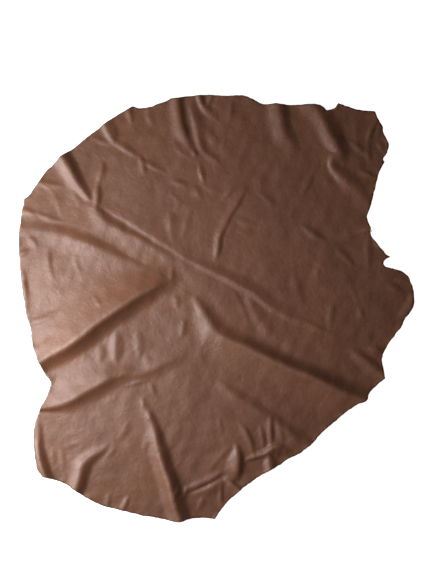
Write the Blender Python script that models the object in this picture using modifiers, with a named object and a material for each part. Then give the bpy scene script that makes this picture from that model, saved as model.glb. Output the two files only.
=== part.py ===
"""Leather hide: one whole tanned skin, grain side up, lying loosely folded on a flat surface.

Metres, +Z up. The origin is on the surface, under the middle of the hide's box. +Y runs towards the
neck end of the skin, +X towards its ragged side. The tables below are in millimetres.
"""

import bmesh
import bpy
import numpy as np

HIDE_LENGTH = 0.900       # along Y, over the highest and lowest points of the cut
TABLE_LENGTH = 900.0      # the same length in the tables' millimetres
MM = HIDE_LENGTH / TABLE_LENGTH
THICKNESS = 0.0014        # the split skin
RIM_STEP = 11.0           # mm between the points along the cut edge
COARSE_CELL = 40.0        # mm, the squares of the flat parts
HALVINGS = 2              # of those squares, on the folds
HEIGHT_ERROR = 0.55       # mm that a square's middle may stray from its fold before it is halved
RIM_MARGIN = 0.5          # of a square, between the grid and the cut edge
CREST_STEP = 5.0          # mm between the points along a fold's crest
CREST_ROUND = 0.30        # of a fold's reach
CREST_ROUND_MOST = 5.5    # mm
FOOT_ROUND = (0.70, 0.30) # of a fold's reach, to the left and to the right of the way it runs
FOLD_FOOT_ROUND = {       # the folds whose flanks run out in another way
    "upper flank fold": (0.80, 0.80),
    "lower flank fold": (0.70, 0.75),
    "haunch fold": (0.70, 0.60),
    "crown fold": (0.45, 0.30),
    "crumple, facet": (0.20, 0.30),
    "top fold": (0.40, 0.30),
    "neck fold": (0.40, 0.30),
}
LEATHER_COLOUR = (0.185, 0.085, 0.050, 1.0)

# The cut edge, clockwise from the hollow low on the left side. Each stretch is a smooth curve that
# starts at a corner, and ends at the corner where the next one starts. Columns: x, y.
RIM_STRETCHES = (
    ("left flank", (
        (-348, -157), (-362, -138), (-373, -114), (-387, -78), (-392, -42), (-402, -7), (-408, 35),
        (-413, 74), (-416, 114), (-417, 145), (-412, 192))),
    ("left shoulder", ((-405, 229), (-392, 241), (-380, 259))),
    ("top left bow", (
        (-373, 268), (-360, 288), (-340, 306), (-327, 321), (-306, 333), (-273, 360), (-245, 381))),
    ("top left step", ((-236, 389), (-213, 404), (-187, 420))),
    ("dip", ((-176, 425), (-164, 422), (-140, 424), (-111, 435))),
    ("crown", (
        (-93, 442), (-60, 446.5), (-20, 450), (20, 448), (56, 449), (80, 440), (98, 430.5), (125, 431.5),
        (160, 428.5), (208, 430), (226, 424))),
    ("top right notch", ((233, 417), (249, 422))),
    ("neck edge", ((258, 432), (280, 425), (300, 418.5))),
    ("top right corner", ((335, 415), (342, 400))),
    ("neck side", ((352, 384), (354, 368), (365, 345), (360, 326), (353, 314))),
    ("right side", (
        (356, 309), (345, 288), (340, 270), (333, 245), (329, 225), (319, 191), (326, 170), (327, 154),
        (342, 134), (357, 116))),
    ("tongue tip", ((367, 108), (355, 100), (357, 88), (374, 83))),
    ("haunch", (
        (391, 79), (405, 68), (412, 51), (418, 32), (416, 3), (401, -20), (391, -39), (366, -73),
        (351, -102), (352, -122))),
    ("lower right", (
        (357, -148), (340, -162), (322, -181), (316, -194), (289, -207), (251, -239), (222, -265),
        (205, -284), (181, -304), (151, -320), (121, -339), (89, -357), (49, -386), (19, -415))),
    ("bottom point", ((-2, -445), (-30, -443), (-60, -446), (-85, -450), (-118, -444))),
    ("bottom bow", (
        (-160, -437), (-200, -427), (-240, -417), (-275, -400), (-309, -376), (-340, -363))),
    ("lower left lobe", (
        (-364, -355), (-377, -337), (-384, -290), (-384, -255), (-374, -218), (-358, -188))),
)

# The main folds. Each is a rounded ridge along a crest: a row for each section of it, with where the
# crest runs, how high it stands, and how far it reaches to the left and to the right of the way it runs.
# Columns: x, y, high, left, right.
MAIN_FOLDS = {
    "upper flank fold": (
        (-400, -130, 13, 85, 32), (-372, -113, 14.5, 90, 32), (-320, -84, 20.5, 95, 35),
        (-280, -55, 23, 100, 37), (-240, -25, 23, 100, 37), (-200, 3, 22.5, 95, 37),
        (-160, 29, 18, 80, 35), (-125, 48, 11, 62, 32), (-100, 60, 4, 40, 26), (-80, 70, 0, 24, 20)),
    "lower flank fold": (
        (-410, -212, 6, 50, 8), (-370, -211, 6, 50, 8), (-345, -208, 7, 50, 14),
        (-320, -200, 10, 55, 25), (-300, -190, 12.5, 60, 31), (-270, -172, 12.5, 60, 33),
        (-240, -155, 12.5, 60, 35), (-215, -143, 9.2, 50, 35), (-190, -137, 6, 40, 32),
        (-165, -138, 4.7, 38, 24), (-140, -133, 5, 38, 26), (-120, -122, 5, 38, 26),
        (-95, -110, 3, 36, 26), (-60, -98, 0, 36, 24)),
    "shoulder fold": (
        (-80, 50, 0, 20, 8), (-120, 71, 1, 25, 9), (-160, 87, 1.5, 32, 11), (-190, 100, 2, 38, 13),
        (-225, 115, 3.5, 44, 18), (-260, 130, 5, 48, 23), (-300, 145, 5, 48, 25), (-330, 156, 4.5, 46, 24),
        (-360, 162, 3, 44, 22), (-400, 167, 2.5, 40, 20), (-440, 172, 2.5, 40, 20)),
    "upper shoulder fold": (
        (-85, 98, 0, 20, 10), (-120, 120, 1.5, 25, 11), (-160, 145, 2.5, 35, 11), (-200, 164, 4, 40, 16),
        (-225, 176, 4.5, 42, 20), (-243, 193, 4.5, 40, 18), (-262, 215, 2, 30, 12), (-275, 228, 0, 20, 10)),
    "back fold": (
        (235, -52, 0, 10, 16), (190, -36, 1.5, 9, 20), (150, -18, 2.5, 9, 26), (105, 8, 3.5, 8, 28),
        (80, 28, 4.5, 8, 28), (50, 45, 4.5, 8, 28), (20, 62, 4, 8, 24), (-10, 77, 3, 8, 20),
        (-40, 91, 1.2, 8, 16), (-70, 105, 0, 8, 10)),
    "haunch fold": (
        (345, -212, 18, 75, 42), (320, -200, 18, 75, 42), (260, -175, 18, 72, 39),
        (210, -150, 17.5, 66, 35), (150, -125, 16, 60, 32), (80, -92, 14.5, 52, 31),
        (30, -68, 11.5, 54, 34), (0, -50, 9.5, 58, 37), (-20, -20, 6.5, 40, 30),
        (-38, 8, 3.5, 22, 20), (-48, 28, 0, 12, 12)),
    "lower haunch fold": (
        (205, -300, 3, 30, 16), (165, -268, 4, 34, 22), (125, -243, 4.5, 36, 22), (80, -212, 4.5, 36, 22),
        (48, -190, 4, 34, 22), (18, -168, 2.5, 26, 16), (0, -155, 0, 20, 12)),
    "bottom fold": (
        (-72, -465, 14.5, 34, 28), (-80, -435, 14.5, 32, 28), (-91, -398, 16, 30, 28),
        (-103, -357, 14.5, 28, 24),
        (-114, -325, 12, 26, 24), (-124, -285, 9.5, 26, 20), (-133, -248, 5, 22, 16),
        (-146, -215, 1.6, 16, 12),
        (-157, -185, 0, 10, 10)),
    "lobe rim fold": (
        (-350, -385, 12, 20, 18), (-362, -352, 12, 16, 18), (-373, -322, 11, 12, 20),
        (-377, -295, 7, 10, 16),
        (-377, -265, 4, 10, 14), (-376, -235, 0, 10, 10)),
    "lobe fold": (
        (-305, -410, 11, 26, 20), (-298, -383, 11, 24, 22), (-289, -352, 10, 24, 24),
        (-280, -328, 7.5, 24, 24),
        (-262, -313, 5, 20, 18), (-240, -300, 2.5, 14, 12), (-225, -285, 0, 12, 10)),
    "top left rim fold": (
        (-252, 214, 0, 8, 7), (-264, 228, 1.5, 10, 9), (-278, 243, 4, 14, 15), (-294, 264, 7.5, 22, 20),
        (-309, 290, 10, 28, 22), (-328, 325, 10, 31, 24), (-345, 358, 10, 31, 24)),
    "crown fold": (
        (-44, 316, 0, 10, 8), (-56, 341, 2, 20, 11), (-68, 370, 4.5, 26, 14), (-77, 400, 5.5, 26, 16),
        (-82, 440, 5.5, 26, 16), (-84, 465, 5.5, 26, 16)),
    "second crown fold": (
        (-8, 308, 0, 8, 8), (-26, 328, 1.8, 9, 14), (-36, 350, 2.8, 10, 18), (-43, 390, 3, 12, 22),
        (-52, 420, 2, 10, 16), (-54, 440, 0, 10, 12)),
    "third crown fold": (
        (15, 385, 0, 10, 20), (-5, 403, 1.5, 12, 20), (-22, 418, 3, 11, 14), (-33, 434, 3.5, 10, 10),
        (-38, 460, 3.5, 10, 10)),
    "top fold": (
        (172, 322, 0, 20, 12), (158, 345, 2.5, 32, 20), (147, 365, 4, 34, 22), (140, 385, 5.5, 34, 22),
        (136, 405, 6.5, 34, 23), (133, 430, 7, 34, 24), (130, 455, 7, 34, 24)),
    "neck fold": (
        (335, 208, 1.5, 25, 16), (305, 238, 2.5, 26, 22), (282, 262, 3.5, 24, 24), (262, 281, 4, 16, 24),
        (247, 294, 4, 12, 22), (243, 308, 4, 11, 24), (250, 320, 4.5, 14, 24), (260, 330, 5.5, 22, 26),
        (248, 352, 6.5, 28, 30), (235, 378, 7, 30, 32), (221, 405, 7, 34, 34), (205, 430, 7, 36, 36),
        (190, 455, 7, 36, 36)),
    "side crease": (
        (262, 150, 0, 8, 6), (295, 158, 3, 14, 8), (322, 168, 6, 16, 16), (350, 177, 6, 16, 16)),
    "haunch side fold": (
        (375, -160, 4, 22, 20), (335, -128, 5, 24, 18), (305, -104, 4, 22, 15), (280, -86, 0, 14, 12)),
    "curved back crease": (
        (-2, 98, 0, 10, 6), (4, 125, 3, 14, 8), (8, 150, 3, 16, 8), (20, 175, 2.4, 24, 7),
        (34, 202, 2.2, 26, 6), (50, 228, 2, 24, 6), (68, 258, 0, 16, 6)),
    "crumple, pinched crest": (
        (56, -324, 0, 6, 5), (72, -317, 3, 8, 6), (90, -311, 5, 9, 8), (105, -305, 6.5, 9, 18),
        (118, -295, 7, 9, 30), (133, -291, 6, 9, 34), (146, -295, 3, 8, 26), (162, -300, 0, 8, 12)),
    "crumple, facet": (
        (42, -354, 3, 28, 12), (46, -338, 6.6, 31, 14), (47, -318, 6.2, 26, 14), (45, -300, 3.6, 12, 10),
        (41, -285, 0, 6, 6)),
    "crumple, rim end": (
        (118, -365, 6.5, 18, 22), (114, -338, 6.5, 18, 22), (112, -318, 5.5, 15, 20), (113, -305, 0, 10, 10)),
    "crumple, low crest": (
        (66, -405, 5, 26, 8), (50, -384, 5, 24, 8), (34, -369, 4, 18, 8), (20, -355, 0, 8, 6)),
}


def smooth_curve(rows, step):
    """Points a step apart on the smooth curve through the rows, whose first two columns are x and y."""
    table = np.array(rows, dtype=float)
    ends = np.vstack((2 * table[0] - table[1], table, 2 * table[-1] - table[-2]))
    points = []
    for before, start, end, after in zip(ends, ends[1:], ends[2:], ends[3:]):
        count = max(1, round(np.hypot(*(end - start)[:2]) / step))
        t = (np.arange(count) / count)[:, None]
        slope = (end - before) * t
        bend = (2 * before - 5 * start + 4 * end - after) * t ** 2
        twist = (3 * (start - end) + after - before) * t ** 3
        points.append(start + 0.5 * (slope + bend + twist))
    return np.vstack(points + [table[-1:]])


def fold_profile(share, crest, foot):
    """Height, from 1 to 0, from a fold's crest to its foot: a straight flank between round ends."""
    fall = np.where(share < crest, share ** 2 / (2 * crest), share - crest / 2)
    whole = 1.0 - crest / 2 - foot / 2
    fall = np.where(share > 1.0 - foot, whole - (1.0 - share) ** 2 / (2 * foot), fall)
    return 1.0 - fall / whole


def fold_height(rows, x, y, foot_round=FOOT_ROUND):
    """Height in mm of one fold over the points x, y: a rounded ridge, steeper on its narrower side."""
    crest = smooth_curve(rows, CREST_STEP)
    crest[:, 2:] = np.clip(crest[:, 2:], 0.0, None)
    height = np.zeros_like(x)
    reach = crest[:, 3:].max() + CREST_STEP
    low = crest[:, :2].min(axis=0) - reach
    high = crest[:, :2].max(axis=0) + reach
    near = (x > low[0]) & (x < high[0]) & (y > low[1]) & (y < high[1])
    if not near.any():
        return height
    point = np.stack((x[near], y[near]), axis=1)
    best = np.full(len(point), np.inf)
    value = np.zeros(len(point))
    for start, end in zip(crest, crest[1:]):
        way = end[:2] - start[:2]
        offset = point - start[:2]
        share = np.clip(offset @ way / (way @ way), 0.0, 1.0)
        apart = offset - share[:, None] * way
        distance = np.hypot(apart[:, 0], apart[:, 1])
        tall, left, right = (start[2:] + share[:, None] * (end[2:] - start[2:])).T
        on_left = way[0] * offset[:, 1] - way[1] * offset[:, 0] > 0
        width = np.maximum(np.where(on_left, left, right), 1.0)
        top = np.minimum(CREST_ROUND, CREST_ROUND_MOST / width)
        foot = np.where(on_left, *foot_round)
        rise = tall * fold_profile(np.clip(distance / width, 0.0, 1.0), top, foot)
        closer = distance < best
        best[closer] = distance[closer]
        value[closer] = rise[closer]
    height[near] = value
    return height


def hide_height(x, y):
    """Height in mm of the hide's underside: where folds cross, the higher one carries the other."""
    squares = sum(
        fold_height(rows, x, y, FOLD_FOOT_ROUND.get(name, FOOT_ROUND)) ** 2
        for name, rows in MAIN_FOLDS.items())
    return np.sqrt(squares)


def fresh_scene():
    for thing in list(bpy.data.objects):
        bpy.data.objects.remove(thing, do_unlink=True)


def rim_points():
    """The whole cut edge: each stretch runs smoothly to the corner where the next one starts."""
    starts = [rows[0] for _, rows in RIM_STRETCHES]
    stretches = []
    for (_, rows), corner in zip(RIM_STRETCHES, starts[1:] + starts[:1]):
        stretches.append(smooth_curve(rows + (corner,), RIM_STEP)[:-1])
    return np.vstack(stretches)


def rim_distance(rim, x, y):
    """Distance in mm from each point to the cut edge, negative outside it."""
    point = np.stack((x, y), axis=1)
    nearest = np.full(len(point), np.inf)
    inside = np.zeros(len(point), dtype=bool)
    for start, end in zip(rim, np.roll(rim, -1, axis=0)):
        way = end - start
        offset = point - start
        share = np.clip(offset @ way / (way @ way), 0.0, 1.0)
        apart = offset - share[:, None] * way
        nearest = np.minimum(nearest, np.hypot(apart[:, 0], apart[:, 1]))
        if way[1] != 0.0:
            crosses = (start[1] > y) != (end[1] > y)
            inside ^= crosses & (x < start[0] + way[0] * (y - start[1]) / way[1])
    return np.where(inside, nearest, -nearest)


def places(corners):
    return np.array([corner.co[:2] for corner in corners]).T


def uneven_faces(sheet):
    """Faces whose middle lies off the height between their corners."""
    middle = np.array([face.calc_center_median()[:2] for face in sheet.faces]).T
    height = dict(zip(sheet.verts, hide_height(*places(sheet.verts))))
    flat = np.array([np.mean([height[corner] for corner in face.verts]) for face in sheet.faces])
    uneven = np.abs(hide_height(*middle) - flat) > HEIGHT_ERROR
    return [face for face, wanted in zip(sheet.faces, uneven) if wanted]


def folded_grid():
    """A grid of squares over the whole table, halved again and again where the folds are."""
    sheet = bmesh.new()
    cells = round((TABLE_LENGTH + 2 * COARSE_CELL) / COARSE_CELL)
    bmesh.ops.create_grid(sheet, x_segments=cells, y_segments=cells, size=cells * COARSE_CELL / 2)
    for _ in range(HALVINGS):
        faces = uneven_faces(sheet)
        edges = list({edge for face in faces for edge in face.edges})
        bmesh.ops.subdivide_edges(sheet, edges=edges, cuts=1, use_grid_fill=True)
    return sheet


def trim(sheet, rim):
    """Takes away the grid outside the cut edge, and whatever hangs on by one corner."""
    distance = rim_distance(rim, *places(sheet.verts))
    outer = []
    for corner, inward in zip(sheet.verts, distance):
        cell = min(edge.calc_length() for edge in corner.link_edges)
        if inward < RIM_MARGIN * cell:
            outer.append(corner)
    while outer:
        bmesh.ops.delete(sheet, geom=outer, context="VERTS")
        outer = [corner for corner in sheet.verts
                 if not corner.link_faces or sum(edge.is_boundary for edge in corner.link_edges) > 2]


def join_rim(sheet, rim):
    """Adds the cut edge and fills the strip between it and the grid."""
    grid_edges = [edge for edge in sheet.edges if edge.is_boundary]
    corners = [sheet.verts.new((x, y, 0.0)) for x, y in rim]
    rim_edges = [sheet.edges.new(pair) for pair in zip(corners, corners[1:] + corners[:1])]
    strip = bmesh.ops.triangle_fill(
        sheet, use_beauty=True, use_dissolve=False, edges=grid_edges + rim_edges, normal=(0.0, 0.0, 1.0))
    faces = [part for part in strip["geom"] if isinstance(part, bmesh.types.BMFace)]
    inner = [edge for edge in sheet.edges if not edge.is_boundary]
    bmesh.ops.beautify_fill(sheet, faces=faces, edges=inner)
    bmesh.ops.triangulate(sheet, faces=sheet.faces[:])


def raise_folds(sheet):
    for corner, height in zip(sheet.verts, hide_height(*places(sheet.verts))):
        corner.co.z = height
    bmesh.ops.scale(sheet, vec=(MM, MM, MM), verts=sheet.verts[:])
    bmesh.ops.recalc_face_normals(sheet, faces=sheet.faces[:])
    if sum(face.normal.z for face in sheet.faces) < 0:
        bmesh.ops.reverse_faces(sheet, faces=sheet.faces[:])


def leather():
    material = bpy.data.materials.new("brown leather")
    material.use_nodes = True
    shader = material.node_tree.nodes["Principled BSDF"]
    shader.inputs["Base Color"].default_value = LEATHER_COLOUR
    shader.inputs["Roughness"].default_value = 0.55
    shader.inputs["Metallic"].default_value = 0.0
    material.diffuse_color = LEATHER_COLOUR
    return material


def centre(piece):
    """Puts the origin on the surface, under the middle of the finished piece's box."""
    finished = piece.evaluated_get(bpy.context.evaluated_depsgraph_get()).data
    corners = np.array([corner.co[:] for corner in finished.vertices])
    low, high = corners.min(axis=0), corners.max(axis=0)
    move = ((low + high) / 2).tolist()
    for corner in piece.data.vertices:
        corner.co.x -= move[0]
        corner.co.y -= move[1]


def make_hide(collection):
    rim = rim_points()
    sheet = folded_grid()
    trim(sheet, rim)
    join_rim(sheet, rim)
    raise_folds(sheet)
    mesh = bpy.data.meshes.new("hide")
    sheet.to_mesh(mesh)
    sheet.free()
    mesh.materials.append(leather())
    mesh.shade_smooth()
    piece = bpy.data.objects.new("hide", mesh)
    collection.objects.link(piece)
    wall = piece.modifiers.new("thickness", "SOLIDIFY")
    wall.thickness = THICKNESS
    wall.offset = 1.0
    bpy.context.view_layer.update()
    centre(piece)


def main():
    fresh_scene()
    collection = bpy.data.collections.new("leather hide")
    bpy.context.scene.collection.children.link(collection)
    make_hide(collection)


main()
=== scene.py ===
"""The looks of the leather hide: one whole brown skin, grain side up, lying in loose folds.

Metres, +Z up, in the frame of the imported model. The tables are in millimetres.
"""

import math

import bmesh
import bpy
import numpy as np
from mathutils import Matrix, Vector


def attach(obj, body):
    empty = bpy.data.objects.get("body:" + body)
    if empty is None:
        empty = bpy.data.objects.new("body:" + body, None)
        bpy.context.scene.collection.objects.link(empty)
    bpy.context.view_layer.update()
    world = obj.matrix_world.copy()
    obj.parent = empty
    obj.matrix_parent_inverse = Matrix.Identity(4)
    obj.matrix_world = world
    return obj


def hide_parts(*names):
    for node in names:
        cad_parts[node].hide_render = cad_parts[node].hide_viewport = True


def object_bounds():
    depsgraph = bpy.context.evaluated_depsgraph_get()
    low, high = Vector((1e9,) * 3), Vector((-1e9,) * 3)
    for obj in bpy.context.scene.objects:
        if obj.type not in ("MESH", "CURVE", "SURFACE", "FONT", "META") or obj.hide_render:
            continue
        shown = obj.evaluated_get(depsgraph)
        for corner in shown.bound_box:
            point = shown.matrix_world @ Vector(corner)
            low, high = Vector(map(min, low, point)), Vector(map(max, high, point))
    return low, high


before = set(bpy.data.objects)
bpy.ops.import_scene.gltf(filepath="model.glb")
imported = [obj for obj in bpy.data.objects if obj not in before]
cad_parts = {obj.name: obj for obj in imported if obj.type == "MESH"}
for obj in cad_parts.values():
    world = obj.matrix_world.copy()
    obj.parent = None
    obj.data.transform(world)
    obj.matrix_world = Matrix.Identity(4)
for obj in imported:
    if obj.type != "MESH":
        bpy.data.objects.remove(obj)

cad_low, cad_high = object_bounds()

HIDE_LENGTH = 0.900        # metres along Y
TABLE_LENGTH = 900.0       # the same length in the tables' millimetres
MM = HIDE_LENGTH / TABLE_LENGTH
THICKNESS = 0.0014         # metres
SEED = 11

RIM_STEP = 3.4             # mm between the points along the cut edge
RIM_RAGGED = 0.7           # mm that the knife wandered
RIM_LIFT = 1.5             # mm that the cut edge curls up or not
RIM_LIFT_REACH = 16.0      # mm in from the cut edge
RIM_LIFT_USUAL = 0.4       # of that curl, before it varies along the edge
CELL = 3.6                 # mm, the squares of the sheet
RIM_MARGIN = 0.45          # of a square, between the squares and the cut edge
CREST_STEP = 5.0           # mm between the points along a fold's crest
CREST_ROUND = 0.30         # of a fold's reach
CREST_ROUND_MOST = 5.5     # mm
FOOT_ROUND = (0.70, 0.30)  # of a fold's reach, to the left and to the right of the way it runs
FOLD_FOOT_ROUND = {        # the folds whose flanks run out in another way
    "upper flank fold": (0.80, 0.80),
    "lower flank fold": (0.70, 0.75),
    "haunch fold": (0.70, 0.60),
    "crown fold": (0.45, 0.30),
    "crumple, facet": (0.20, 0.30),
    "top fold": (0.40, 0.30),
    "neck fold": (0.40, 0.30),
}
CREASE_SECTIONS = 11
CREASE_FADE = 0.10         # of a crease's length, past each end
CREASE_NARROW = 0.4        # of a crease's reach, at its ends
DRIFT = 1.0                # mm that the folds wander off their drawn lines
SWELL_HEIGHT = 0.7         # mm, broad unevenness
RIPPLE_HEIGHT = 0.48       # mm
FINE_RIPPLE_HEIGHT = 0.10  # mm
RELIEF_ROUNDS = 30         # of blending, to tell the raised places from the hollows

# Unevenness made of waves. Columns: longest and shortest wave in mm, how many, seed.
DRIFT_X_WAVES = (160.0, 40.0, 24, SEED + 2)
DRIFT_Y_WAVES = (160.0, 40.0, 24, SEED + 3)
SWELL_WAVES = (260.0, 90.0, 16, SEED)
RIPPLE_WAVES = (80.0, 28.0, 48, SEED + 1)
FINE_RIPPLE_WAVES = (28.0, 10.0, 60, SEED + 4)
KNIFE_WAVES = (45.0, 9.0, 60, SEED + 5)
CURL_WAVES = (110.0, 22.0, 40, SEED + 6)

WHITE = (1.0, 1.0, 1.0, 1.0)
DARK_DYE = (0.152, 0.055, 0.0255, 1.0)
LIGHT_DYE = (0.218, 0.0845, 0.040, 1.0)
PALE_BROWN = (0.30, 0.165, 0.105, 1.0)
# very dark brown for painted shade, between the grain cells and along the dark lines
PAINTED_SHADE_BROWN = (0.055, 0.021, 0.011, 1.0)
SUEDE_DARK = (0.20, 0.105, 0.060, 1.0)
SUEDE_LIGHT = (0.33, 0.195, 0.122, 1.0)
EDGE_COLOUR = (0.16, 0.085, 0.050, 1.0)
FLOOR_COLOUR = (0.9, 0.9, 0.9, 1.0)

BROAD_PATCHES = 7.0        # of dye, per metre
CLOSE_PATCHES = 42.0       # of dye, per metre
PATCH_SHARES = (0.6, 0.4)  # of the broad and of the close patches in the dye's tone
PATCH_FINER = 9.0          # times as many small clouds per metre as broad ones
CLOUD_SHARES = (0.7, 0.3)  # of the broad and of the small clouds in a patch
CLOUD_EDGES = (0.34, 0.66) # where a patch starts and where it is full
GRAIN_CELLS = 480.0        # per metre
GRAIN_SWAY_SIZE = 60.0     # per metre
GRAIN_SWAY = 0.004         # metres that the cells wander
CELL_SHOULDER = 0.32       # of a cell, rounded off towards its crease
PORES_FINER = 3.1          # times as many pores per metre as cells
GRAIN_SHARES = (0.75, 0.25) # of the cells and of the pores in the grain's height
GRAIN_DEPTH = 0.00008      # metres
GRAIN_CREVICE_SHADE = 0.35     # of the dye between the cells, darkened there as painted shade
WRINKLE_SIZE = 90.0        # wrinkles per metre
WRINKLE_DEPTH = 0.0009     # metres
GLOSS_ROUGHNESS = (0.53, 0.47) # where the dye is dark and where it is light
GLOSS_LEVEL = 0.74
CREST_PALING_RELIEF = (1.0, 4.5)   # mm that a place stands out where the paling starts and where it is full
CREST_PALING_SHARE = 0.16
RIM_RUBBED_REACH = 2.5     # mm in from the cut edge
RIM_RUBBED_SHARE = 0.35
PALE_MARK_SHARE = 0.22
# how strongly the dark lines, which are painted shade, darken the dye
DARK_LINE_SHADE_SHARE = 0.45
SUEDE_PATCHES = 11.0       # per metre
NAP_FIBRES = 900.0         # per metre
NAP_STRETCH = (1.0, 0.35, 1.0) # the nap lies along Y
NAP_EDGES = (0.6, 0.35)    # where the painted shade between the fibres starts and where it is full
NAP_SHADE_SHARE = 0.5
NAP_DEPTH = 0.0004         # metres
SUEDE_ROUGHNESS = 0.92
SUEDE_GLOSS_LEVEL = 0.2
SUEDE_SHEEN = 0.25
SUEDE_SHEEN_ROUGHNESS = 0.4
EDGE_PATCHES = 60.0        # per metre
EDGE_FIBRES = 1500.0       # per metre
EDGE_DEPTH = 0.0002        # metres
EDGE_ROUGHNESS = 0.9

# Columns: name, heading and rise from the middle in degrees, distance, width and height in metres,
# power in watts.
LIGHTS = (
    ("raking light", 180.0, 21.5, 1.4, 0.90, 0.42, 18.5),
    ("near light", 189.0, 46.0, 0.84, 0.34, 0.34, 5.8),
)
WORLD_COLOUR = (1.0, 0.90, 0.82, 1.0)
WORLD_STRENGTH = 0.06
FLOOR_GLOW = 1.0           # to the camera only
FLOOR_SIZE = 80.0          # metres
FLOOR_GAP = 0.0002         # metres under the hide
FLOOR_ROUGHNESS = 0.9
VIEW_LENGTH = 1.219        # metres of the floor that the view's long side takes in
CAMERA_PLACE = (0.0005, 0.0412, 2.6)
SENSOR = 36.0              # mm

# Thin lines on the grain side, straight from one point to the next, in mm. The dark ones are painted
# shade along thin creases and at the feet of folds; the pale ones are pale marks in the grain. Columns:
# kind, half of the width, the points.
MARKS = (
    ("pale", 1.1, ((319.5, 178), (318, 130), (318.5, 80))),           # where the skin was folded away
    ("pale", 0.8, ((318.5, 80), (319, 0), (319, -95))),
    ("pale", 0.9, ((235, -183), (222, -200), (200, -230), (180, -258))),
    ("pale", 2.2, ((221.5, -203), (219.5, -206))),
    ("pale", 0.8, ((-262, 260.7), (-235, 260.7))),
    ("dark", 1.0, ((-238, 226.7), (-170, 226.7))),
    ("dark", 1.3, ((-190, 110), (-170, 100), (-120, 72), (-100, 60), (-80, 45), (-45, 24))),
    ("dark", 1.5, ((-372, -213), (-328, -214))),
    ("dark", 1.2, ((-196, -160.5), (-160, -158))),
    ("dark", 1.0, ((300, 292), (338, 275))),
    ("dark", 1.1, ((18, -354), (36, -369), (52, -380))),
    ("dark", 0.9, ((11, -372), (13, -395), (16, -415))),
    ("pale", 0.9, ((72, 262), (84, 247), (122, 216))),
    ("dark", 1.0, ((-262, 222), (-240, 207.5), (-200, 182), (-160, 155), (-128, 132))),
)

# Loose fibres at the cut edge. Columns: x, y, heading, spread of headings, length in mm, how many.
TUFTS = (
    (325.5, 161, 42, 14, 13, 3), (326, 162, 20, 60, 5, 5), (365, 108.5, 5, 50, 4, 5),
    (391, 78, 85, 40, 5, 5), (373, 83, 75, 50, 3, 4), (353, 314, -10, 60, 5, 4),
    (353.5, 97, 190, 30, 2, 3), (232, 417, 80, 60, 4, 4), (-176, 425, 100, 50, 3, 3),
    (-348, -158, 200, 70, 3, 4),
)
FIBRE_RADIUS = 0.00016     # metres
FIBRE_SIDES = 5
FIBRE_STEPS = 7
FIBRE_BEND = 0.9           # radians that a fibre turns along its length
FIBRE_TAPER = 0.88         # of its width, from one step to the next
FIBRE_DROOP = 0.06         # of its height, from one step to the next
FIBRE_SHORTEST = 0.6       # of its tuft's length

# The cut edge, clockwise from the hollow low on the left side. Each stretch is a smooth curve that
# starts at a corner, and ends at the corner where the next one starts. Columns: x, y.
RIM_STRETCHES = (
    ("left flank", (
        (-348, -157), (-362, -138), (-373, -114), (-387, -78), (-392, -42), (-402, -7), (-408, 35),
        (-413, 74), (-416, 114), (-417, 145), (-412, 192))),
    ("left shoulder", ((-405, 229), (-392, 241), (-380, 259))),
    ("top left bow", (
        (-373, 268), (-360, 288), (-340, 306), (-327, 321), (-306, 333), (-273, 360), (-245, 381))),
    ("top left step", ((-236, 389), (-213, 404), (-187, 420))),
    ("dip", ((-176, 425), (-164, 422), (-140, 424), (-111, 435))),
    ("crown", (
        (-93, 442), (-60, 446.5), (-20, 450), (20, 448), (56, 449), (80, 440), (98, 430.5),
        (125, 431.5),
        (160, 428.5), (208, 430), (226, 424))),
    ("top right notch", ((233, 417), (249, 422))),
    ("neck edge", ((258, 432), (280, 425), (300, 418.5))),
    ("top right corner", ((335, 415), (342, 400))),
    ("neck side", ((352, 384), (354, 368), (365, 345), (360, 326), (353, 314))),
    ("right side", (
        (356, 309), (345, 288), (340, 270), (333, 245), (329, 225), (319, 191), (326, 170), (327, 154),
        (342, 134), (357, 116))),
    ("tongue tip", ((367, 108), (355, 100), (357, 88), (374, 83))),
    ("haunch", (
        (391, 79), (405, 68), (412, 51), (418, 32), (416, 3), (401, -20), (391, -39), (366, -73),
        (351, -102), (352, -122))),
    ("lower right", (
        (357, -148), (340, -162), (322, -181), (316, -194), (289, -207), (251, -239), (222, -265),
        (205, -284), (181, -304), (151, -320), (121, -339), (89, -357), (49, -386), (19, -415))),
    ("bottom point", ((-2, -445), (-30, -443), (-60, -446), (-85, -450), (-118, -444))),
    ("bottom bow", (
        (-160, -437), (-200, -427), (-240, -417), (-275, -400), (-309, -376), (-340, -363))),
    ("lower left lobe", (
        (-364, -355), (-377, -337), (-384, -290), (-384, -255), (-374, -218), (-358, -188))),
)

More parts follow.
